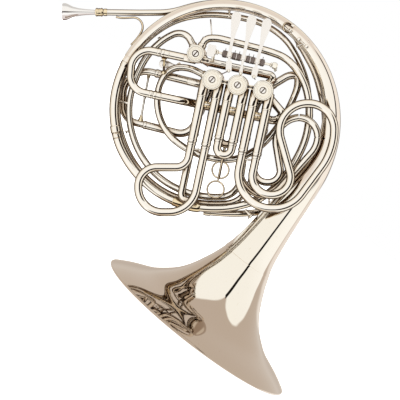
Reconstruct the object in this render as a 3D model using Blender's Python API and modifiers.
"""Double french horn standing on its bell rim, +Z up the bell axis, the key side facing -Y.

All sizes are millimetres until the meshes are made. Tubes are laid out on one sheet: x to the right,
y up, measured from its middle, with a depth towards the player's side (-Y). The sheet is in light
perspective, so `at` turns a sheet point and a depth into one point in space. It is turned by
BELL_ANGLE against the bell axis, the way the horn hangs when it is held.
"""
import math
from collections import namedtuple

import bmesh
import bpy
from mathutils import Matrix, Vector

# ---------------------------------------------------------------- driving dimensions
SHEET_DISTANCE = 2200.0        # from the eye to the sheet
SHEET_TILT = 5.0               # degrees the eye looks down
BELL_ANGLE = 37.6              # degrees between the sheet's y and the bell axis
HOOP_MID = (32.544, 123.84)    # centre of the big circle of the corpus, sheet
HOOP_R = 156.96                # its centre-line radius
RIM_DROP = 266.4               # from the hoop's tangent point down to the rim
ORIGIN_X = 140.94              # the rim's centre, so that the bounding box is centred on x = 0

WALL = 0.55                    # tube wall
GAP = 0.35                     # clearance between neighbouring pieces
BELL_R = 155.5                 # rim radius
BELL_WALL = 0.7

# Valve casings: outside radius, rotor bore radius, height of the rear end along -Y.
Case = namedtuple("Case", "radius bore back")
FINGER_CASE = Case(14.0, 11.3, -30.0)
CASES = {0: Case(12.2, 9.6, -20.0), 1: FINGER_CASE, 2: FINGER_CASE, 3: FINGER_CASE}
CASE_FRONT = 41.5
NAMES = {0: "thumb_valve", 1: "valve_1", 2: "valve_2", 3: "valve_3"}

SLEEVE_R = 6.7                 # outer slide sleeve
INNER_R = 5.35                 # inner slide leg
BOW_R = 6.1                    # slide bow
LEG_HALF = 10.2                # half the spacing of the two legs of a valve slide
D_FRONT, D_REAR = 31.0, 16.0   # depths of the two slide banks
D_BACK = -12.3                 # depth of the tubes behind the hoop
D_FAR = -23.6                  # depth of the rearmost tubes
STEP = 7.5                     # degrees per bend segment before thinning
CHORD = 1.5                    # how far a thinned path may leave its bend

MATERIALS = {  # base colour, roughness
    "nickel_silver": ((0.72, 0.66, 0.58, 1), 0.12),
    "bright_nickel": ((0.86, 0.84, 0.80, 1), 0.10),
    "brass_fitting": ((0.78, 0.66, 0.42, 1), 0.16),
    "silver_plate": ((0.90, 0.89, 0.87, 1), 0.08),
    "dark_steel": ((0.18, 0.17, 0.17, 1), 0.35),
    "valve_bronze": ((0.62, 0.50, 0.34, 1), 0.30),
}

# ---------------------------------------------------------------- scene and materials
for old in list(bpy.data.objects):
    bpy.data.objects.remove(old, do_unlink=True)

HORN = bpy.data.collections.new("french_horn")
CUTTERS = bpy.data.collections.new("cutters")
bpy.context.scene.collection.children.link(HORN)
bpy.context.scene.collection.children.link(CUTTERS)
CUTTERS.hide_render = True


def material(kind, node):
    """The metal `kind` for one object; a piece finished twice gets the same material again."""
    colour, roughness = MATERIALS[kind]
    name = f"{kind}_{node}"
    metal = bpy.data.materials.get(name) or bpy.data.materials.new(name)
    metal.use_nodes = True
    shader = metal.node_tree.nodes["Principled BSDF"]
    shader.inputs["Base Color"].default_value = colour
    shader.inputs["Metallic"].default_value = 1.0
    shader.inputs["Roughness"].default_value = roughness
    metal.diffuse_color = colour
    return metal


# ---------------------------------------------------------------- the sheet
TILT = math.radians(SHEET_TILT)
TURN = math.radians(BELL_ANGLE)
UP = Vector((0, 0, 1))
FRONT = Vector((0, -1, 0))
BACKWARD = Vector((0, 1, 0))
SIGHT = Vector((0, math.cos(TILT), -math.sin(TILT)))
EYE = SIGHT * -SHEET_DISTANCE
LEVEL_UP = Vector((0, math.sin(TILT), math.cos(TILT)))
SHEET_X = Vector((1, 0, 0)) * math.cos(TURN) + LEVEL_UP * math.sin(TURN)
SHEET_UP = Vector((-1, 0, 0)) * math.sin(TURN) + LEVEL_UP * math.cos(TURN)


def on_sheet(x, y, depth):
    """Where the line of sight through sheet point (x, y) meets the plane at a depth."""
    ray = SIGHT * SHEET_DISTANCE + SHEET_X * x + SHEET_UP * y
    return EYE + ray * ((-depth - EYE.y) / ray.y)


# The bell axis leaves the hoop at its tangent point and runs straight down to the rim.
TANGENT = (HOOP_MID[0] + HOOP_R * math.cos(TURN), HOOP_MID[1] - HOOP_R * math.sin(TURN))


def below_tangent(drop):
    """Sheet point on the bell axis, `drop` below the tangent point."""
    return (TANGENT[0] - drop * math.sin(TURN), TANGENT[1] - drop * math.cos(TURN))


RIM = below_tangent(RIM_DROP)
BASE = on_sheet(*RIM, 0)


def at(x, y, depth):
    """Sheet point (x, y) at a depth as a point in space."""
    p = on_sheet(x, y, depth) - BASE
    return Vector((p.x + ORIGIN_X, p.y, p.z))


def sheet_height(point):
    """Sheet y at which a point in space appears."""
    ray = Vector((point.x - ORIGIN_X, point.y, point.z)) + BASE - EYE
    return ray.dot(SHEET_UP) / ray.dot(SIGHT) * SHEET_DISTANCE


# ---------------------------------------------------------------- paths
def plan(points, depth=None):
    """Corner list [(point, bend radius)] from (x, y), (x, y, depth) or (x, y, depth, bend radius)."""
    out = []
    for p in points:
        own_depth = p[2] if len(p) > 2 else depth
        bend = p[3] if len(p) > 3 else None
        out.append((at(p[0], p[1], own_depth), bend))
    return out


def unbent(*points):
    """Corner list of points in space without bend radii of their own."""
    return [(p, None) for p in points]


def corner_cuts(corners, legs, turns):
    """How much of its legs each bend takes; a bend without a radius takes all it can get."""
    last = len(corners) - 1
    cuts = [0.0] * len(corners)
    for i in range(1, last):
        if corners[i][1] is not None:
            cuts[i] = corners[i][1] * math.tan(turns[i] / 2)
    for i in range(1, last):
        if corners[i][1] is not None:
            continue
        room = []
        for length, j in ((legs[i - 1], i - 1), (legs[i], i + 1)):
            if j in (0, last) or turns[j] < 1e-4:
                room.append(length)
            elif corners[j][1] is not None:
                room.append(length - cuts[j])
            else:
                room.append(length / 2)
        cuts[i] = max(0.0, min(room)) * 0.999
    return cuts


def rounded(corners):
    """Points along a path of straight legs whose corners are rounded with arcs."""
    pts = [c[0] for c in corners]
    legs = [(b - a).length for a, b in zip(pts, pts[1:])]
    ways = [(b - a).normalized() for a, b in zip(pts, pts[1:])]
    turns = [0.0] + [a.angle(b) for a, b in zip(ways, ways[1:])] + [0.0]
    cuts = corner_cuts(corners, legs, turns)
    out = [pts[0]]
    for i in range(1, len(pts) - 1):
        turn, cut = turns[i], cuts[i]
        if turn < 1e-4 or cut < 1e-6:
            out.append(pts[i])
            continue
        before, after = ways[i - 1], ways[i]
        radius = cut / math.tan(turn / 2)
        start = pts[i] - before * cut
        mid = start + (after - before * before.dot(after)).normalized() * radius
        steps = max(1, math.ceil(math.degrees(turn) / STEP))
        arm = start - mid
        axis = before.cross(after).normalized()
        for k in range(steps + 1):
            out.append(mid + Matrix.Rotation(turn * k / steps, 3, axis) @ arm)
    out.append(pts[-1])
    clean = [out[0]]
    for p in out[1:]:
        if (p - clean[-1]).length > 0.2:
            clean.append(p)
    clean[-1] = pts[-1]
    return thinned(clean)


def thinned(pts):
    """Drops the points within CHORD of the chord between kept points, but never the end legs."""
    keep = {0, 1, len(pts) - 2, len(pts) - 1}
    marks = sorted(keep)
    stack = list(zip(marks, marks[1:]))
    while stack:
        a, b = stack.pop()
        way = pts[b] - pts[a]
        span = way.length or 1.0
        far, worst = -1, CHORD
        for i in range(a + 1, b):
            off = (pts[i] - pts[a]).cross(way).length / span
            if off > worst:
                far, worst = i, off
        if far > 0:
            keep.add(far)
            stack += [(a, far), (far, b)]
    return [pts[i] for i in sorted(keep)]


def lengths(pts):
    """Arc length of each point of a path."""
    out = [0.0]
    for a, b in zip(pts, pts[1:]):
        out.append(out[-1] + (b - a).length)
    return out


def point_at(pts, arcs, where):
    """Point at arc length `where`."""
    for i in range(len(pts) - 1):
        if where <= arcs[i + 1] or i == len(pts) - 2:
            a, b = pts[i], pts[i + 1]
            return a + (b - a) * ((where - arcs[i]) / (arcs[i + 1] - arcs[i]))


def closest(pts, target, samples):
    """Arc length of the sampled point of a path that lies closest to a target."""
    arcs = lengths(pts)
    total = arcs[-1]
    best = min(range(samples),
               key=lambda k: (point_at(pts, arcs, total * k / samples) - target).length)
    return total * best / samples


def cut_path(pts, head=0.0, tail=0.0):
    """The path shortened by `head` at its start and `tail` at its end."""
    arcs = lengths(pts)
    first, last = head, arcs[-1] - tail
    out = [point_at(pts, arcs, first)]
    out += [p for p, where in zip(pts, arcs) if first + 0.2 < where < last - 0.2]
    out.append(point_at(pts, arcs, last))
    return out


def interpolated(table, where):
    """Value at `where` in a table of (position, value), linear between its rows."""
    for (s0, r0), (s1, r1) in zip(table, table[1:]):
        if where <= s1:
            return r0 + (r1 - r0) * (where - s0) / (s1 - s0)
    return table[-1][1]


def with_steps(pts, radii, rings):
    """Path points with radii, with points added where the radius changes.

    `radii` is [(arc length share, radius)]. `rings` is [(start, width, extra radius)], the start
    counted from the end of the path when it is negative."""
    arcs = lengths(pts)
    total = arcs[-1]
    marks = [(w, 0.0) for w in arcs]
    for start, width, extra in rings:
        if start < 0:
            start += total
        top_start, top_end = start + 0.3, start + width - 0.3
        marks += [(start, 0.0), (top_start, extra), (top_end, extra), (start + width, 0.0)]
        marks = [m for m in marks if not (top_start < m[0] < top_end and m[1] == 0.0)]
        marks += [(w, extra) for w in arcs if top_start < w < top_end]
    marks += [(share * total, 0.0) for share, _ in radii[1:-1]]
    marks = sorted(m for m in marks if 0 <= m[0] <= total)
    out = []
    last = None
    for where, extra in marks:
        if last is not None and where - last < 0.15:
            continue
        last = where
        radius = interpolated(radii, where / total) + extra
        out.append((point_at(pts, arcs, where), radius))
    return out


# ---------------------------------------------------------------- object builders
def curve_object(name, points, sides, caps, collection):
    """A round bevelled curve through [(point, radius)]."""
    data = bpy.data.curves.new(name, "CURVE")
    data.dimensions = "3D"
    data.bevel_resolution = (sides - 4) // 2
    data.use_fill_caps = caps
    reference = max(r for _, r in points)
    data.bevel_depth = reference * 0.001
    spline = data.splines.new("POLY")
    spline.points.add(len(points) - 1)
    for target, (p, r) in zip(spline.points, points):
        target.co = (p.x * 0.001, p.y * 0.001, p.z * 0.001, 1)
        target.radius = r / reference
    spline.use_smooth = True
    obj = bpy.data.objects.new(name, data)
    collection.objects.link(obj)
    return obj


def evaluated_mesh(obj, normals=True):
    """The evaluated shape as a mesh with doubles merged and, if asked, normals outwards."""
    bpy.context.view_layer.update()
    graph = bpy.context.evaluated_depsgraph_get()
    mesh = bpy.data.meshes.new_from_object(obj.evaluated_get(graph))
    work = bmesh.new()
    work.from_mesh(mesh)
    bmesh.ops.remove_doubles(work, verts=work.verts, dist=2e-6)
    if normals:
        bmesh.ops.recalc_face_normals(work, faces=work.faces)
    work.to_mesh(mesh)
    work.free()
    return mesh


def as_mesh(obj, name, collection):
    """Replaces a curve object by a mesh object of its evaluated shape."""
    mesh = evaluated_mesh(obj)
    made = bpy.data.objects.new(name, mesh)
    made.matrix_world = obj.matrix_world.copy()
    collection.objects.link(made)
    bpy.data.objects.remove(obj, do_unlink=True)
    made.name = name
    return made


def finish(obj, kind="nickel_silver"):
    obj.data.materials.clear()
    obj.data.materials.append(material(kind, obj.name))
    if obj.type == "MESH":
        obj.data.shade_smooth()
        obj.data.set_sharp_from_angle(angle=math.radians(40))
    return obj


def tube(name, pts, radii, sides=8, rings=(), wall=WALL, mesh=False, solid=False,
         collection=HORN):
    """A tube along the path, hollow unless `solid`. `radii` is one radius or [(share, radius)]."""
    if not isinstance(radii, list):
        radii = [(0.0, radii), (1.0, radii)]
    obj = curve_object(name, with_steps(pts, radii, rings), sides, solid, collection)
    if not solid:
        shell = obj.modifiers.new("wall", "SOLIDIFY")
        shell.thickness = wall * 0.001
        shell.offset = -1
        shell.use_even_offset = True
        shell.use_rim = True
    if mesh:
        obj = as_mesh(obj, name, collection)
    if collection is HORN:
        finish(obj)
    return obj


def bar(name, pts, radius, sides=8):
    """A solid round wire along a path, as a helper mesh."""
    obj = curve_object(name, [(p, radius) for p in pts], sides, True, CUTTERS)
    return as_mesh(obj, name, CUTTERS)


def rod(name, start, end, radius, sides=8):
    """A solid round bar between two points, as a helper mesh."""
    return bar(name, [start, end], radius, sides)


def spun(name, profile, origin, direction, steps, collection=HORN, kind=None):
    """A turned piece: the profile [(radius, height)] screwed round the line through origin."""
    mesh = bpy.data.meshes.new(name)
    verts = [(r * 0.001, 0, h * 0.001) for r, h in profile]
    edges = [(i, i + 1) for i in range(len(verts) - 1)]
    if profile[0][0] > 1e-6 or profile[-1][0] > 1e-6:
        edges.append((len(verts) - 1, 0))
    mesh.from_pydata(verts, edges, [])
    blank = bpy.data.objects.new(name, mesh)
    collection.objects.link(blank)
    screw = blank.modifiers.new("turn", "SCREW")
    screw.axis = "Z"
    screw.steps = screw.render_steps = steps
    screw.use_merge_vertices = True
    screw.merge_threshold = 0.000005
    screw.use_smooth_shade = True
    turned = evaluated_mesh(blank)
    bpy.data.objects.remove(blank, do_unlink=True)
    turned.transform(direction.normalized().to_track_quat("Z", "Y").to_matrix().to_4x4())
    made = bpy.data.objects.new(name, turned)
    made.location = origin * 0.001
    collection.objects.link(made)
    made.name = name
    if kind:
        finish(made, kind)
    return made


def combine(target, others, operation):
    for k, other in enumerate(others):
        other.display_type = "WIRE"
        other.hide_render = True
        step = target.modifiers.new(f"{operation.lower()}_{k}", "BOOLEAN")
        step.operation = operation
        step.solver = "EXACT"
        step.object = other


def piece(name, target, adds=(), cuts=(), kind="nickel_silver"):
    """Joins `adds` to the target, takes `cuts` away and makes the result a piece of the horn."""
    if target.name in CUTTERS.objects:
        CUTTERS.objects.unlink(target)
        HORN.objects.link(target)
    combine(target, adds, "UNION")
    combine(target, cuts, "DIFFERENCE")
    mesh = evaluated_mesh(target, normals=False)
    target.modifiers.clear()
    target.data = mesh
    target.name = name
    return finish(target, kind)


# ---------------------------------------------------------------- bell
FLARE = [  # (outside radius, height above the rim), a bell's hyperbolic opening
    (150.912, 4.608), (133.92, 12.96), (112.608, 24.48), (93.312, 37.44),
    (74.88, 53.28), (60.48, 72.0), (48.96, 95.04), (39.168, 120.96),
]
THROAT_R, THROAT_HEIGHT = FLARE[-1]
BEAD_OUT = [  # outside of the rim bead
    (BELL_R - 1.6, 0.0), (BELL_R, 0.9), (BELL_R + 0.2, 2.0), (BELL_R - 0.6, 3.1),
]
BEAD_IN = [(BELL_R - 3.6, 1.6), (BELL_R - 3.4, 0.0)]


def bell_flare():
    inside = []
    for i, (r, h) in enumerate(FLARE):
        r0, h0 = FLARE[max(i - 1, 0)]
        r1, h1 = FLARE[min(i + 1, len(FLARE) - 1)]
        along = Vector((r1 - r0, h1 - h0)).normalized()
        inside.append((r - along.y * BELL_WALL, h + along.x * BELL_WALL))
    profile = BEAD_OUT + FLARE + inside[::-1] + BEAD_IN
    spun("bell_flare", profile, at(*RIM, 0), UP, steps=28, kind="nickel_silver")


bell_flare()

# ---------------------------------------------------------------- corpus
HOOP_START, HOOP_END, HOOP_CORNERS = -BELL_ANGLE, 184.0, 12


def hoop_point(angle, radius):
    """Point round the hoop's centre, the angle in radians counter-clockwise on the sheet."""
    return (HOOP_MID[0] + radius * math.cos(angle), HOOP_MID[1] + radius * math.sin(angle), 0.0)


def hoop_corners():
    """Corners of the polygon that touches the hoop circle between its two end angles."""
    half = math.radians(HOOP_END - HOOP_START) / HOOP_CORNERS / 2
    start = math.radians(HOOP_START)
    radius = HOOP_R / math.cos(half)
    return [hoop_point(start + half * (2 * k + 1), radius) for k in range(HOOP_CORNERS)]


LOWER_LINE = [  # x, y, depth: from the left end of the hoop along the bottom
    (-119.808, 87.84, 0.0), (-105.84, 57.6, 0.0), (-84.96, 30.24, 0.0), (-57.6, 7.776, 0.0),
    (-25.92, -6.624, 0.0), (7.2, -12.384, 0.0), (43.2, -11.808, 0.0),
]
RETURN_LINE = [  # x, y, depth: up inside the hoop on the right and back to the thumb valve
    (77.76, -2.88, 0.5), (98.64, 9.36, 1.5), (116.64, 26.64, 2.0), (131.76, 46.8, 2.0),
    (144.72, 69.12, 2.0), (153.504, 92.16, 2.0), (157.536, 118.08, 2.0), (156.96, 144.0, 2.0),
    (151.2, 167.76, 2.0), (138.96, 189.36, 2.0), (122.4, 205.632, 2.0), (99.36, 214.272, 2.0),
    (24.48, 233.28, 2.0), (8.352, 232.416, 2.0),
]
RETURN_END = (-4.032, 214.848, 2.0)

main_line = [
    (*below_tangent(RIM_DROP - THROAT_HEIGHT), 0.0),
    (*below_tangent(8.64), 0.0),
    hoop_point(math.radians(HOOP_START), HOOP_R),
    *hoop_corners(),
    *LOWER_LINE,
    *RETURN_LINE,
    RETURN_END,
]
main_run = rounded(plan(main_line))
main_arcs = lengths(main_run)
main_length = main_arcs[-1]


def main_station(x, y, depth=0.0):
    """Arc length of the main run's point closest to a sheet point."""
    return closest(main_run, at(x, y, depth), len(main_run) * 8)


TAPER_MARKS = [  # x, y, depth near the main run, outside radius there
    (82.08, -70.56, 0.0, 33.696), (105.12, -40.32, 0.0, 28.656), (129.6, -7.2, 0.0, 23.616),
    (*TANGENT, 0.0, 20.448), (175.68, 57.6, 0.0, 17.28), (189.504, 123.84, 0.0, 12.816),
    (181.44, 172.8, 0.0, 10.512), (142.56, 234.72, 0.0, 8.784), (32.544, 280.8, 0.0, 7.704),
    (-124.416, 123.84, 0.0, 6.984), (-41.76, 0.576, 0.0, 6.48), (24.48, -11.52, 0.0, 5.832),
    (72.0, -4.32, 0.5, 5.688), (157.536, 129.6, 2.0, 5.544),
]
TAPER = [(0.0, THROAT_R)]
TAPER += [(main_station(x, y, depth), radius) for x, y, depth, radius in TAPER_MARKS]
TAPER += [(main_length, 5.472)]


def main_piece(name, first, last, rings, wall=WALL):
    """The part of the main run between two arc lengths."""
    pts = cut_path(main_run, first, main_length - last)
    arcs = lengths(pts)
    radii = [(w / arcs[-1], interpolated(TAPER, first + w)) for w in arcs]
    tube(name, pts, radii, sides=10, rings=rings, wall=wall)


# Arc lengths of the joints at the upper left, left and lower right, and of the bottom ferrule.
top_joint = main_station(-107.28, 198.72)
left_joint = main_station(-123.12, 96.48)
right_joint = main_station(83.52, 1.44, 1.0)
ferrule = main_station(-2.88, -10.944)
main_piece("bell_tail", GAP, top_joint - GAP / 2, [(-9.0, 8.6, 0.5)], wall=0.6)
main_piece("hoop_branch", top_joint + GAP / 2, left_joint - GAP / 2, [(-8.0, 7.6, 0.9)])
main_piece("lower_branch", left_joint + GAP / 2, right_joint - GAP / 2,
           [(0.2, 7.6, 0.9), (ferrule - left_joint - 9.0, 8.0, 1.1)])

# ---------------------------------------------------------------- valve places and ports
THUMB_AXIS = (-6.48, 210.96)    # valve axes on the sheet, placed at AXIS_DEPTH
AXIS_1 = (17.28, 173.52)
AXIS_3 = (90.72, 157.824)
AXIS_DEPTH = 46.0
STUB_W = 24.0                   # slide stubs end this far below the valve axis


def axis_point(axis, depth):
    p = at(*axis, AXIS_DEPTH)
    return Vector((p.x, at(*axis, depth).y, p.z))


valve_1_mid, valve_3_mid = axis_point(AXIS_1, 0), axis_point(AXIS_3, 0)
row = (valve_3_mid - valve_1_mid).normalized()       # along the finger valves
down = Vector((row.z, 0, -row.x)).normalized()       # along the slide legs


def valve_mid(k, depth=0.0):
    """Point on the axis of valve k; 0 is the thumb valve."""
    if k == 0:
        return axis_point(THUMB_AXIS, depth)
    p = valve_1_mid + (valve_3_mid - valve_1_mid) / 2 * (k - 1)
    return Vector((p.x, -depth, p.z))


def leg(k, side, depth, drop):
    """Point on a slide leg: side -1 or +1 (0 between them), `drop` below the valve axis."""
    p = valve_mid(k) + row * (LEG_HALF * side) + down * drop
    return Vector((p.x, -depth, p.z))


def toward(a, b, length):
    return a + (b - a).normalized() * length


STUBS = {0: [], 1: [], 2: [], 3: []}    # per valve: (root, tip, radius)


def port(target, k, depth, radius, reach=4.0):
    """Gives valve k a stub towards a target, `reach` out of the casing.

    Returns the two corners with which a tube leaves the stub, GAP outside it."""
    case = CASES[k]
    mid = valve_mid(k, depth)
    aim = Vector((target.x, mid.y, target.z))
    tip = toward(mid, aim, case.radius + reach)
    STUBS[k].append((toward(mid, aim, case.bore - 2.0), tip, radius))
    start = toward(tip, target, GAP)
    return unbent(start, toward(start, target, 2.0))


def ported(corners, start=None, end=None):
    """A rounded path whose start and/or end is put on a casing stub, given as `port` arguments."""
    head = port(corners[0][0], *start) if start else []
    tail = port(corners[-1][0], *end)[::-1] if end else []
    return rounded(head + corners + tail)


# ---------------------------------------------------------------- tubes on the valves
def return_branch():
    """The end of the main run, from the lower right joint into the thumb valve."""
    path = ported(plan(RETURN_LINE), end=(0, 2.0, 6.3))
    joint = point_at(main_run, main_arcs, right_joint + GAP / 2)
    path = cut_path(path, closest(path, joint, 4000) + 0.8)
    tie = bar("return_tie", [at(17.136, 236.16, 1.0), at(15.264, 260.064, -9.5)], 0.9, 6)
    branch = tube("return_branch", path, [(0.0, 5.616), (1.0, 5.4)], mesh=True)
    piece("return_branch", branch, [tie])


INNER_RING = [  # x, y, depth (D_BACK where none is given)
    (-17.568, 237.312), (-32.4, 241.344), (-51.12, 232.416), (-72.0, 213.984),
    (-85.536, 192.24), (-94.32, 170.64), (-100.8, 149.04), (-102.672, 126.72),
    (-100.224, 104.4), (-93.888, 82.08, -11.4), (-82.656, 59.76, -11.2),
    (-66.24, 38.592, -11.2), (-44.64, 22.176, -11.2), (-17.28, 9.504, -11.2),
    (14.4, 3.744, -11.2), (41.76, 4.896, -11.6), (56.88, 20.16, -16.5),
    (61.344, 48.96, D_FAR), (67.968, 103.68, D_FAR),
]


def inner_ring():
    """Thumb valve loop, running on as the left inner ring and under the slides to valve 3."""
    path = ported(plan(INNER_RING, D_BACK), start=(0, D_BACK, 6.2), end=(3, D_FAR, 6.2))
    upper_tie = bar("inner_ring_tie", [at(-56.448, 228.96, D_BACK + 1),
                                       at(-59.04, 233.856, D_BACK + 1)], 1.6, 6)
    lower_tie = bar("inner_ring_tie_low", [at(-99.36, 100.512, D_BACK),
                                           at(-106.56, 97.92, D_BACK)], 1.7, 6)
    piece("inner_ring", tube("inner_ring", path, 5.1, mesh=True), [upper_tie, lower_tie])


VALVE_RING = [  # x, y
    (-15.84, 191.232), (-41.76, 190.656), (-58.176, 169.92), (-62.784, 141.12),
    (-57.312, 113.76), (-42.624, 90.144), (-18.0, 72.0), (12.96, 59.904), (46.08, 56.736),
    (75.6, 67.68), (99.36, 88.416), (118.08, 113.76), (132.48, 141.12), (141.12, 163.44),
    (141.408, 179.712), (128.16, 179.712),
]


def valve_ring():
    """From valve 1 round behind the slides to valve 3."""
    path = ported(plan(VALVE_RING, D_BACK), start=(1, D_BACK, 6.0), end=(3, D_BACK, 6.4))
    tube("valve_ring", path, [(0.0, 5.0), (0.86, 5.0), (0.9, 5.6), (1.0, 5.7)])


def cross_tube():
    """From the thumb valve to valve 3, in front of the hoop."""
    corners = plan([(10.08, 198.864), (108.864, 178.128)], 17.0)
    tube("cross_tube", ported(corners, start=(0, 17.0, 6.9, 1.4), end=(3, 17.0, 6.9, 1.0)), 5.8)


OUTER_RING = [  # x, y, depth (D_BACK where none is given)
    (97.92, 126.72, D_FAR), (92.16, 95.04, D_FAR), (77.76, 48.96, D_FAR),
    (70.56, 17.28, -21.5), (53.28, -2.88, -17.8), (25.92, -6.048, -16.8),
    (-5.76, -3.6, -16.8), (-41.76, 6.336, -16.8), (-72.864, 26.208, -16.8),
    (-96.768, 54.72, -16.8), (-112.896, 89.28, -14.8), (-120.096, 126.72),
    (-115.776, 167.04), (-100.512, 202.752), (-74.88, 233.856), (-37.44, 259.2),
    (7.2, 268.128), (51.84, 264.672), (92.16, 254.592), (123.84, 232.128),
    (141.984, 203.04, -13.6), (153.504, 172.08, -14.4), (157.536, 144.0, -14.4),
    (157.824, 118.08, -14.4),
]


def outer_ring():
    """Behind the hoop, from valve 3 all the way round to the right-hand side."""
    path = ported(plan(OUTER_RING, D_BACK), start=(3, D_FAR, 5.7, 5.0))
    tube("outer_ring", path, 4.45, rings=[(-7.0, 6.4, 0.7)])


return_branch()
inner_ring()
valve_ring()
cross_tube()
outer_ring()

# ---------------------------------------------------------------- tuning slides
TUNING_ENGAGE = 24.0            # how far a tuning bow's legs reach into their sleeves
TUNING_SLEEVE_R = 5.9


def tuning_bow(name, corners, inner, outer, step, mesh=False):
    """A bow whose thin legs widen just outside the sleeves, over `step` of its length."""
    path = rounded(corners)
    share = (TUNING_ENGAGE + 0.4) / lengths(path)[-1]
    radii = [(0.0, inner), (share - step, inner), (share, outer),
             (1 - share, outer), (1 - share + step, inner), (1.0, inner)]
    return tube(name, path, radii, mesh=mesh)


def mean_way(upper, lower):
    """Mean direction of two lines, each given by its two ends."""
    ways = [(end - start).normalized() for start, end in (upper, lower)]
    return (ways[0] + ways[1]).normalized()


# Rear tuning slide: two straight sleeves left of valve 1 and a wide bow behind the hoop.
rear_way = mean_way((at(-77.76, 185.76, D_FAR), at(0.0, 167.04, D_FAR)),
                    (at(-95.04, 112.032, D_FAR), at(-15.84, 92.16, D_FAR)))
rear_upper_mid = at(-38.88, 176.544, D_FAR)
rear_lower_mid = at(-56.16, 102.24, D_FAR)
rear_upper_start = rear_upper_mid - rear_way * 26.0
rear_upper_end = rear_upper_mid + rear_way * 22.0
rear_lower_start = rear_lower_mid - rear_way * 26.0


def rear_tuning_slide():
    # The upper sleeve's stub lies on the sleeve's own line, so it stays parallel to the lower one.
    STUBS[1].append((rear_upper_end + rear_way * GAP, rear_upper_end + rear_way * 27.0, 6.0))
    tube("rear_tuning_sleeve_upper", [rear_upper_start, rear_upper_end], TUNING_SLEEVE_R)
    lower = unbent(rear_lower_start, rear_lower_mid + rear_way * 42.5, leg(1, -1, D_FAR, 50.0))
    tube("rear_tuning_sleeve_lower", ported(lower, end=(1, D_FAR, 6.4)), TUNING_SLEEVE_R)
    corners = [
        (rear_upper_start + rear_way * TUNING_ENGAGE, None),
        (rear_upper_start - rear_way * 48.0, 34.0),
        (rear_lower_start - rear_way * 31.0, 24.0),
        (rear_lower_start + rear_way * TUNING_ENGAGE, None),
    ]
    bow = tuning_bow("rear_tuning_bow", corners, 4.6, 5.2, step=0.002, mesh=True)
    brace = bar("rear_tuning_rod", [at(-73.152, 182.88, D_FAR), at(-85.536, 114.48, D_FAR)],
                1.9, 6)
    piece("rear_tuning_bow", bow, [brace])


# F tuning slide on the left, with the long straight tube that runs behind the valve slides.
F_DEPTH, F_STRAIGHT_DEPTH = 14.6, 2.2
f_way = (at(-7.2, 138.816, F_DEPTH) - at(-72.0, 152.64, F_DEPTH)).normalized()
f_upper_mid = at(-41.76, 208.944, F_DEPTH)
f_lower_mid = at(-41.76, 146.016, F_DEPTH)
f_upper_start = f_upper_mid - f_way * 14.0
f_upper_end = f_upper_mid + f_way * 19.0
f_lower_start = f_lower_mid - f_way * 26.0


def f_leg_corner(start, mark):
    """The point of a leg's own line level with a mark, so that the two legs stay parallel."""
    return start - f_way * (start - mark).dot(f_way)


def f_tuning_slide():
    STUBS[0].append((f_upper_end + f_way * GAP, f_upper_end + f_way * 17.0, 5.9))
    tube("f_tuning_sleeve_upper", [f_upper_start, f_upper_end], TUNING_SLEEVE_R)
    lower = unbent(
        f_lower_start, f_lower_mid + f_way * 17.0, at(-12.24, 139.68, F_STRAIGHT_DEPTH),
        at(110.16, 113.472, F_STRAIGHT_DEPTH), at(120.384, 123.84, 0.0))
    tube("f_tuning_sleeve_lower", ported(lower, end=(3, 0.0, 6.4, 3.0)), TUNING_SLEEVE_R)
    corners = [
        (f_upper_start + f_way * TUNING_ENGAGE, None),
        (f_leg_corner(f_upper_start, at(-96.768, 219.456, F_DEPTH)), 25.92),
        (f_leg_corner(f_lower_start, at(-101.664, 158.4, F_DEPTH)), 24.48),
        (f_lower_start + f_way * TUNING_ENGAGE, None),
    ]
    tuning_bow("f_tuning_bow", corners, 4.75, 5.75, step=0.003)


rear_tuning_slide()
f_tuning_slide()

# ---------------------------------------------------------------- valve slides
Bank = namedtuple("Bank", "depth ends engage")
# Per bank: sleeve ends below the valve axis, and how far the inner legs reach up inside.
FRONT_BANK = Bank(D_FRONT, {1: 92.0, 2: 79.5, 3: 90.5}, {1: 45.0, 2: 45.0, 3: 45.0})
REAR_BANK = Bank(D_REAR, {1: 84.0, 2: 62.0, 3: 74.0}, {1: 42.0, 2: 28.0, 3: 38.0})
RIGHT_EXTRA = 1.5               # the right-hand sleeve of a pair is this much longer
TIE_DROP = 36.0                 # soldered ties, below the valve axis
TIE_R = 2.2


def slide_sleeves(k):
    """The four sleeves of a valve, with soldered ties between neighbouring ones."""
    sleeves = []
    for bank in (FRONT_BANK, REAR_BANK):
        depth = bank.depth
        for side in (-1, 1):
            tail = bank.ends[k] + (RIGHT_EXTRA if side > 0 else 0.0)
            path = [leg(k, side, depth, STUB_W + GAP), leg(k, side, depth, tail)]
            sleeves.append(tube(f"s{k}{depth}{side}", path, SLEEVE_R, mesh=True,
                                collection=CUTTERS))
            STUBS[k].append((leg(k, side, depth, 3.0), leg(k, side, depth, STUB_W),
                             SLEEVE_R + 0.35))
    half = LEG_HALF - SLEEVE_R + 0.3
    ties = []
    for depth in (D_FRONT, D_REAR):
        mid = leg(k, 0, depth, TIE_DROP)
        ties.append(rod(f"t{k}{depth}", mid - row * half, mid + row * half, TIE_R))
    for side in (-1, 1):
        ties.append(rod(f"u{k}{side}", leg(k, side, D_FRONT - SLEEVE_R + 0.3, TIE_DROP),
                        leg(k, side, D_REAR + SLEEVE_R - 0.3, TIE_DROP), TIE_R))
    piece(f"valve_{k}_slide_sleeves", sleeves[0], sleeves[1:] + ties)


def leg_corner(k, side, depth, height, bend):
    """Corner on a leg's centre line where it appears at a sheet height, found by bisection."""
    low, high = -50.0, 300.0
    for _ in range(40):
        middle = (low + high) / 2
        if sheet_height(leg(k, side, depth, middle)) > height:
            low = middle
        else:
            high = middle
    return (leg(k, side, depth, (low + high) / 2), bend)


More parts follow.
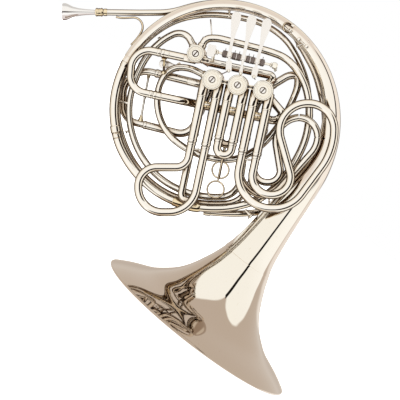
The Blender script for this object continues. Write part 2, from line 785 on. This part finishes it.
def u_corners(k, depth, drop):
    """The two corners of a plain U bow."""
    return [(leg(k, side, depth, drop), LEG_HALF - 0.02) for side in (-1, 1)]


def slide_bow(name, k, bank, corners, radius=BOW_R, adds=()):
    """A bow with its inner legs in the two sleeves, stepping up to its own tube below them."""
    engage = bank.engage[k]
    start = leg(k, -1, bank.depth, bank.ends[k] - engage)
    end = leg(k, 1, bank.depth, bank.ends[k] + RIGHT_EXTRA - engage)
    path = rounded([(start, None)] + corners + [(end, None)])
    length = lengths(path)[-1]
    share, step = (engage + GAP) / length, 0.4 / length
    radii = [(0.0, INNER_R), (share, INNER_R), (share + step, radius),
             (1 - share - step, radius), (1 - share, INNER_R), (1.0, INNER_R)]
    bow = tube(name, path, radii, mesh=bool(adds))
    if adds:
        piece(name, bow, adds)


def f_slide_1():
    """Front bow of valve 1, turned out to the left."""
    corners = [
        leg_corner(1, -1, D_FRONT, 47.088, 18.0),
        *plan([(-88.848, 47.088, D_FRONT, 26.784), (-88.848, -17.568, D_FRONT, 34.56)]),
        leg_corner(1, 1, D_FRONT, -17.568, 39.6),
    ]
    tie = bar("f1_tie", [at(-11.808, 73.152, D_FRONT), at(6.624, 72.288, D_FRONT)], 1.7, 6)
    slide_bow("f_slide_1", 1, FRONT_BANK, corners, adds=[tie])


def f_slide_2():
    """Front bow of valve 2, a plain short U."""
    slide_bow("f_slide_2", 2, FRONT_BANK, u_corners(2, D_FRONT, FRONT_BANK.ends[2] + 21.5))


def f_slide_3():
    """Front bow of valve 3, curled up to the right."""
    loop = [  # x, y, depth, bend radius
        (131.76, -12.24, 37.5, 47.52), (193.392, 70.992, 33.5, 89.28),
        (193.392, 138.96, D_FRONT, 36.288), (102.096, 138.96, D_FRONT, 38.88),
        (139.104, 7.2, 35.5, 25.92),
    ]
    corners = [leg_corner(3, -1, D_FRONT, -12.24, 47.52), *plan(loop),
               leg_corner(3, 1, D_FRONT, 7.2, 26.352)]
    ties = [
        bar("f3_tie", [at(60.768, 58.464, D_FRONT), at(80.64, 57.6, D_FRONT)], 1.7, 6),
        bar("f3_tie_low", [at(99.36, 5.76, D_FRONT), at(99.36, -10.08, D_FRONT)], 1.5, 6),
    ]
    slide_bow("f_slide_3", 3, FRONT_BANK, corners, adds=ties)


def rear_slide_1():
    """Rear bow of valve 1, a long plain U."""
    slide_bow("rear_slide_1", 1, REAR_BANK, u_corners(1, D_REAR, 176.0), radius=5.6)


def ring_of_wire(name, mid, radius, wire):
    """A wire ring in the plane of the slide legs, as a helper mesh."""
    around, section = 14, 5
    mesh = bpy.data.meshes.new(name)
    work = bmesh.new()
    grid = []
    for i in range(around):
        angle = 2 * math.pi * i / around
        out = row * math.cos(angle) + down * math.sin(angle)
        loop = []
        for j in range(section):
            turn = 2 * math.pi * j / section
            point = (mid + out * (radius + wire * math.cos(turn))
                     + FRONT * (wire * math.sin(turn)))
            loop.append(work.verts.new(point * 0.001))
        grid.append(loop)
    for i in range(around):
        here, after = grid[i], grid[(i + 1) % around]
        for j in range(section):
            j1 = (j + 1) % section
            work.faces.new((here[j], after[j], after[j1], here[j1]))
    bmesh.ops.recalc_face_normals(work, faces=work.faces)
    work.to_mesh(mesh)
    work.free()
    obj = bpy.data.objects.new(name, mesh)
    CUTTERS.objects.link(obj)
    return obj


def rear_slide_2():
    """Rear bow of valve 2, a short U with two pull rings hanging below it."""
    ring_out = 12.96
    ring_mid, wire = ring_out - 0.9, 0.85
    upper, lower = at(29.52, 43.2, D_REAR), at(22.464, 15.264, D_REAR)
    drop = REAR_BANK.ends[2] + 24.0
    link_reach = ring_out - 2.0
    pull = [
        ring_of_wire("pull_ring_upper", upper, ring_mid, wire),
        ring_of_wire("pull_ring_lower", lower, ring_mid, wire),
        rod("pull_stem", leg(2, 0, D_REAR, drop - 0.5), upper + down * (ring_out - 0.6), 1.5, 6),
        rod("pull_link", upper + down * link_reach, lower - down * link_reach, 1.2, 6),
    ]
    slide_bow("rear_slide_2", 2, REAR_BANK, u_corners(2, D_REAR, drop), radius=5.6, adds=pull)


def rear_slide_3():
    """Rear bow of valve 3, a curled loop."""
    loop_depth = 18.9
    loop = [  # x, y, depth, bend radius
        (106.56, 7.2, loop_depth, 34.56), (169.056, 77.184, loop_depth, 37.44),
        (170.784, 118.656, loop_depth, 27.36), (103.104, 118.656, loop_depth, 33.84),
        (118.656, 25.344, 17.0, 17.28),
    ]
    corners = [leg_corner(3, -1, D_REAR, 4.32, 37.44), *plan(loop),
               leg_corner(3, 1, D_REAR, 25.344, 18.72)]
    slide_bow("rear_slide_3", 3, REAR_BANK, corners, radius=5.3)


for k in (1, 2, 3):
    slide_sleeves(k)
f_slide_1()
f_slide_2()
f_slide_3()
rear_slide_1()
rear_slide_2()
rear_slide_3()

# ---------------------------------------------------------------- valves
# Profiles are (radius, height), heights along -Y from the layout plane.
DISC_BACK = CASE_FRONT + 2.2
DISC_R = {0: 12.0, 1: 14.1, 2: 14.1, 3: 14.1}


def casing(k):
    """Turned body with a rear collar and all the stubs of its tubes."""
    radius, bore, back = CASES[k]
    mid = valve_mid(k)
    stubs = [rod(f"stub_{k}_{i}", root, tip, r) for i, (root, tip, r) in enumerate(STUBS[k])]
    outside = [
        (0.0, back), (radius + 0.5, back), (radius + 0.5, back + 5.0), (radius, back + 5.4),
        (radius, CASE_FRONT - 0.8), (radius - 0.8, CASE_FRONT), (0.0, CASE_FRONT),
    ]
    body = spun(f"casing_{k}_body", outside, mid, FRONT, steps=18)
    hole = [
        (0.0, back - 1), (bore, back - 1), (bore, CASE_FRONT - 4.5), (3.4, CASE_FRONT - 4.5),
        (3.4, CASE_FRONT + 1), (0.0, CASE_FRONT + 1),
    ]
    cutter = spun(f"casing_{k}_bore", hole, mid, FRONT, steps=16, collection=CUTTERS)
    piece(NAMES[k] + "_casing", body, stubs, [cutter])


def rotor(k):
    _, bore, back = CASES[k]
    radius = bore - 0.35
    profile = [
        (0.0, back + 0.6), (3.0, back + 0.6), (3.0, back + 3.4), (radius, back + 3.4),
        (radius, CASE_FRONT - 5.2), (3.0, CASE_FRONT - 5.2), (3.0, CASE_FRONT + 1.6),
        (0.0, CASE_FRONT + 1.6),
    ]
    spun(NAMES[k] + "_rotor", profile, valve_mid(k), FRONT, steps=14, kind="valve_bronze")


def rear_cap(k):
    radius, bore, back = CASES[k]
    cap_r = radius - 0.8
    profile = [
        (0.0, back - 3.6), (cap_r - 1.4, back - 3.0), (cap_r, back - 1.8), (cap_r, back - GAP),
        (bore - 0.3, back - GAP), (bore - 0.3, back + 1.6), (bore - 2.2, back + 1.6),
        (bore - 2.2, back - 0.4), (0.0, back - 0.4),
    ]
    spun(NAMES[k] + "_rear_cap", profile, valve_mid(k), FRONT, steps=14, kind="nickel_silver")


def stop_disc(k):
    radius, back = DISC_R[k], DISC_BACK
    profile = [
        (0.0, back), (radius, back), (radius, back + 2.2), (radius - 0.8, back + 2.8),
        (radius * 0.6, back + 3.1), (radius * 0.56, back + 2.5), (radius * 0.48, back + 3.2),
        (4.3, back + 3.2), (4.3, back + 1.4), (0.0, back + 1.4),
    ]
    spun(NAMES[k] + "_stop_disc", profile, valve_mid(k), FRONT, steps=18, kind="bright_nickel")


def stop_screw(k):
    """Screw head in the middle of the disc, with a slanting slot."""
    mid = valve_mid(k)
    profile = [
        (0.0, DISC_BACK + 1.7), (3.9, DISC_BACK + 1.7), (3.9, DISC_BACK + 3.5),
        (3.3, DISC_BACK + 4.1), (0.0, DISC_BACK + 4.2),
    ]
    head = spun(NAMES[k] + "_stop_screw", profile, mid, FRONT, steps=12)
    mesh = bpy.data.meshes.new("slot")
    work = bmesh.new()
    bmesh.ops.create_cube(work, size=1.0)
    work.to_mesh(mesh)
    work.free()
    slot = bpy.data.objects.new(f"slot_{k}", mesh)
    CUTTERS.objects.link(slot)
    slant = math.radians(48)
    along = SHEET_X * math.cos(slant) + SHEET_UP * math.sin(slant)
    along.y = 0
    along.normalize()
    basis = Matrix((along, FRONT.cross(along), FRONT)).transposed().to_4x4()
    place = Matrix.Translation((mid + FRONT * (DISC_BACK + 4.0)) * 0.001)
    size = Matrix.Diagonal((0.012, 0.0009, 0.0018, 1))    # slot length, width, depth in metres
    slot.matrix_world = place @ basis @ size
    piece(NAMES[k] + "_stop_screw", head, cuts=[slot], kind="bright_nickel")


for k in NAMES:
    casing(k)
    rotor(k)
    rear_cap(k)
    stop_disc(k)
    stop_screw(k)


# ---------------------------------------------------------------- flat keys
def outline(name, points, thick, origin, x_way, y_way):
    """A flat helper plate: a closed outline extruded in the plane of x_way and y_way."""
    bevel = 0.3
    data = bpy.data.curves.new(name, "CURVE")
    data.dimensions = "2D"
    data.fill_mode = "BOTH"
    data.extrude = (thick / 2 - bevel) * 0.001
    data.bevel_depth = bevel * 0.001
    data.bevel_resolution = 0
    spline = data.splines.new("POLY")
    spline.points.add(len(points) - 1)
    for target, (x, y) in zip(spline.points, points):
        target.co = (x * 0.001, y * 0.001, 0, 1)
    spline.use_cyclic_u = True
    obj = bpy.data.objects.new(name, data)
    CUTTERS.objects.link(obj)
    basis = Matrix((x_way, y_way, x_way.cross(y_way))).transposed().to_4x4()
    obj.matrix_world = Matrix.Translation(origin * 0.001) @ basis
    return as_mesh(obj, name, CUTTERS)


def key_outline(start, end, foot_half, waist_half, paddle_r, mid_share=0.62, steps=6):
    """Outline of a key: a round paddle at `end`, a waist, and a square foot at `start`."""
    start, end = Vector(start), Vector(end)
    axis = (end - start).normalized()
    side = Vector((-axis.y, axis.x))
    length = (end - start).length
    pts = []
    for i in range(steps + 1):
        a = math.pi * i / steps
        pts.append(end + side * (-math.cos(a) * paddle_r) + axis * (math.sin(a) * paddle_r)
                   - axis * paddle_r)
    widths = [(length * mid_share, paddle_r * 0.93), (length * 0.30, waist_half),
              (0.0, foot_half)]
    pts += [start + axis * along + side * half for along, half in widths]
    pts += [start + axis * along - side * half for along, half in reversed(widths)]
    return [(p.x, p.y) for p in pts]


# ---------------------------------------------------------------- finger keys
ROD_DEPTH = 38.5
HINGE_BORE_R = 2.15
KEY_LIFT = 5.7                  # from the hinge rod forward to the key plates
rod_left, rod_right = at(23.04, 213.12, ROD_DEPTH), at(104.4, 194.112, ROD_DEPTH)
rod_way = (rod_right - rod_left).normalized()

LEVERS = {  # sheet points: paddle top, hub crossing, foot of the arm
    1: ((53.856, 271.008), (42.48, 208.512), (41.184, 185.76)),
    2: ((76.032, 266.112), (62.496, 203.904), (58.464, 182.16)),
    3: ((98.208, 261.216), (82.512, 199.296), (77.472, 177.12)),
}


def lever_hub(k):
    """The point of the hinge rod on which key k turns."""
    return rod_left + rod_way * ((at(*LEVERS[k][1], ROD_DEPTH) - rod_left).dot(rod_way))


def lever(k):
    top, _, foot = LEVERS[k]
    hub = lever_hub(k)
    origin = hub + FRONT * KEY_LIFT
    flat = (origin, Vector((1, 0, 0)), UP)
    tip = at(*top, ROD_DEPTH + KEY_LIFT) - origin
    arm_end = at(*foot, ROD_DEPTH + KEY_LIFT) - origin
    plate = outline(f"lever_{k}_plate",
                    key_outline((0.0, -2.0), (tip.x, tip.z), 2.3, 2.9, 6.5), 2.2, *flat)
    arm = outline(f"lever_{k}_arm",
                  key_outline((0.0, 2.0), (arm_end.x, arm_end.z), 2.3, 3.4, 3.7, 0.45, 4),
                  2.2, *flat)
    barrel = rod(f"lever_{k}_hub", hub - rod_way * 3.4, hub + rod_way * 3.4, 4.1, 12)
    post = rod(f"lever_{k}_post", hub + FRONT * 2.6, hub + FRONT * (KEY_LIFT + 0.6), 2.6)
    bore = rod(f"lever_{k}_bore", hub - rod_way * 6, hub + rod_way * 6, HINGE_BORE_R, 10)
    piece(f"lever_{k}", plate, [arm, post, barrel], [bore], "silver_plate")


def bracket(name, end, way, foot):
    """End block of the hinge rod and the strut that reaches back from it."""
    block = rod(name + "_block", end + way * 0.4, end + way * 5.2, 5.2, 12)
    root = end + way * 3.0
    path = [root + BACKWARD * 2.0, root + BACKWARD * 9.0, foot]
    return [block, bar(name + "_strut", path, 2.2)]


def hinge_bracket():
    hinge_rod = rod("hinge_rod", rod_left - rod_way * 2.0, rod_right + rod_way * 2.0, 1.75, 10)
    blocks = bracket("left", rod_left, -rod_way, at(18.0, 200.448, 24.2))
    blocks += bracket("right", rod_right, rod_way, at(108.72, 186.48, 21.0))
    piece("hinge_bracket", hinge_rod, blocks, kind="bright_nickel")


def lever_spring(k):
    """A spring drum on either side of the hub, joined by a bridge behind it."""
    half = rod_way * 2.85
    hub = lever_hub(k)
    left, right = hub - rod_way * 6.85, hub + rod_way * 6.85
    drum = rod(f"spring_{k}_a", left - half, left + half, 4.2, 10)
    other = rod(f"spring_{k}_b", right - half, right + half, 4.2, 10)
    near, far = BACKWARD * 3.2, BACKWARD * 5.6
    bridge = bar(f"spring_{k}_bridge", [left + near, left + far, right + far, right + near],
                 0.75, 6)
    hole = rod(f"spring_{k}_hole", left - rod_way * 9, right + rod_way * 9, HINGE_BORE_R, 10)
    piece(f"lever_spring_{k}", drum, [other, bridge], [hole], "dark_steel")


for k in LEVERS:
    lever(k)
hinge_bracket()
for k in LEVERS:
    lever_spring(k)

# ---------------------------------------------------------------- mouthpipe and mouthpiece
LEADPIPE = [  # x, y, depth (-14.2 where none is given), from the mouthpiece end
    (-139.104, 270.288), (-72.0, 269.424), (-41.76, 270.144), (0.0, 282.816),
    (46.08, 285.408), (89.28, 275.616), (128.16, 253.44), (145.44, 220.32), (164.88, 187.2),
    (175.104, 151.2, -15.0), (181.44, 115.2, -22.5), (176.4, 72.0, -29.5),
    (158.4, 31.68, -33.0), (129.6, 0.0, -34.0), (95.04, -16.416, -30.0),
    (61.92, -19.872, -17.0), (30.24, -19.296, -14.2), (5.04, -16.704, -13.8),
]
RECEIVER = [  # radius, distance along the pipe
    (4.25, -0.4), (5.3, -0.4), (5.75, -1.6), (5.75, -9.6), (5.3, -11.2), (4.1, -11.2),
    (3.75, -6.0),
]
MOUTHPIECE = [  # radius, distance along the pipe
    # outside, from the shank to the rim
    (3.0, 8.0), (3.35, 0.5), (4.3, -14.0), (5.5, -24.0), (7.8, -33.0), (11.0, -39.5),
    (12.4, -43.0), (12.5, -46.4), (11.6, -47.6),
    # inside, from the rim back to the shank
    (9.2, -46.6), (7.8, -42.0), (4.4, -31.0), (2.4, -20.0), (2.2, 8.0),
]


def leadpipe():
    path = rounded(plan(LEADPIPE, -14.2))
    tube("leadpipe", path, [(0.0, 4.55), (1.0, 4.9)])
    way = (path[1] - path[0]).normalized()
    spun("mouthpiece_receiver", RECEIVER, path[0], way, steps=12, kind="brass_fitting")
    spun("mouthpiece", MOUTHPIECE, path[0] - way * 11.6, way, steps=14, kind="silver_plate")


# ---------------------------------------------------------------- fittings
LEADPIPE_BRACE = [  # x, y, depth
    (-126.0, 266.112, -14.2), (-118.08, 261.792, -13.0), (-88.56, 263.232, -9.0),
    (-80.352, 249.12, -5.0), (-89.28, 233.28, -1.5), (-108.576, 213.84, 0.0),
]
FINGER_HOOK = [  # x, y, depth
    (133.344, 251.136, 11.2), (123.84, 256.32, 14.5), (118.656, 248.832, 17.0),
    (124.704, 239.616, 16.5), (129.888, 243.36, 14.0),
]


def leadpipe_brace():
    path = cut_path(rounded(plan(LEADPIPE_BRACE)), 6.2, 13.5)
    tube("leadpipe_brace", path, 1.6, solid=True)


def finger_hook():
    tube("finger_hook", rounded(plan(FINGER_HOOK)), 1.5, solid=True)


def bell_brace():
    """Short rod from the bottom of the corpus towards the bell, with a round foot."""
    start, end = at(62.208, -11.232, -2.0), at(79.2, -28.224, -2.0)
    way = (end - start).normalized()
    foot = rod("bell_brace_foot", end - way * 10.0, end - way * 7.0, 4.2)
    body = rod("bell_brace_rod", start + way * 4.2, end - way * 8.5, 2.0)
    piece("bell_brace", body, [foot])


leadpipe()
leadpipe_brace()
finger_hook()
bell_brace()

# ---------------------------------------------------------------- thumb key
# A spatula behind the horn on a short hinge that stands on the valve ring.
THUMB_DEPTH = -33.0
hinge_low, hinge_high = at(-31.68, 186.624, THUMB_DEPTH), at(-29.664, 196.704, THUMB_DEPTH)
hinge_way = (hinge_high - hinge_low).normalized()
hinge_mid = (hinge_low + hinge_high) / 2


def thumb_hinge():
    posts = []
    for letter, end, way in (("a", hinge_low, hinge_way), ("b", hinge_high, -hinge_way)):
        foot = Vector((end.x + way.x * 1.8, 18.2, end.z + way.z * 1.8))
        posts.append(bar(f"thumb_post_{letter}", [end + way * 0.8, foot], 1.3, 6))
    piece("thumb_hinge", rod("thumb_hinge_rod", hinge_low, hinge_high, 1.5), posts)


def thumb_lever():
    left = hinge_way.cross(BACKWARD).normalized()
    origin = hinge_mid + BACKWARD * 4.0
    flat = (origin, hinge_way, left)
    spatula = outline("thumb_spatula",
                      key_outline((0.0, 0.0), (0.0, 29.0), 1.9, 2.6, 6.0, 0.6), 2.0, *flat)
    arm = outline("thumb_arm",
                  key_outline((0.0, 0.0), (0.0, -13.0), 1.9, 2.2, 2.4, 0.5, 4), 2.0, *flat)
    hub = rod("thumb_hub", hinge_mid - hinge_way * 2.0, hinge_mid + hinge_way * 2.0, 3.4, 10)
    post = rod("thumb_key_post", hinge_mid + BACKWARD * 2.2, origin, 1.9)
    bore = rod("thumb_key_bore", hinge_mid - hinge_way * 5, hinge_mid + hinge_way * 5, 1.85)
    piece("thumb_lever", spatula, [arm, hub, post], [bore], "silver_plate")


thumb_hinge()
thumb_lever()


# ---------------------------------------------------------------- origins of the moving pieces
def pivot(name, point):
    """Puts a piece's origin on a point without moving the piece."""
    obj = bpy.data.objects[name]
    bpy.context.view_layer.update()
    placed = Matrix.Translation(point * 0.001)
    obj.data.transform(placed.inverted() @ obj.matrix_world)
    obj.matrix_world = placed


for k in LEVERS:
    pivot(f"lever_{k}", lever_hub(k))
    pivot(f"f_slide_{k}", leg(k, 0, D_FRONT, FRONT_BANK.ends[k]))
    pivot(f"rear_slide_{k}", leg(k, 0, D_REAR, REAR_BANK.ends[k]))
pivot("thumb_lever", hinge_mid)
pivot("f_tuning_bow", (f_upper_start + f_lower_start) / 2)
pivot("rear_tuning_bow", (rear_upper_start + rear_lower_start) / 2)
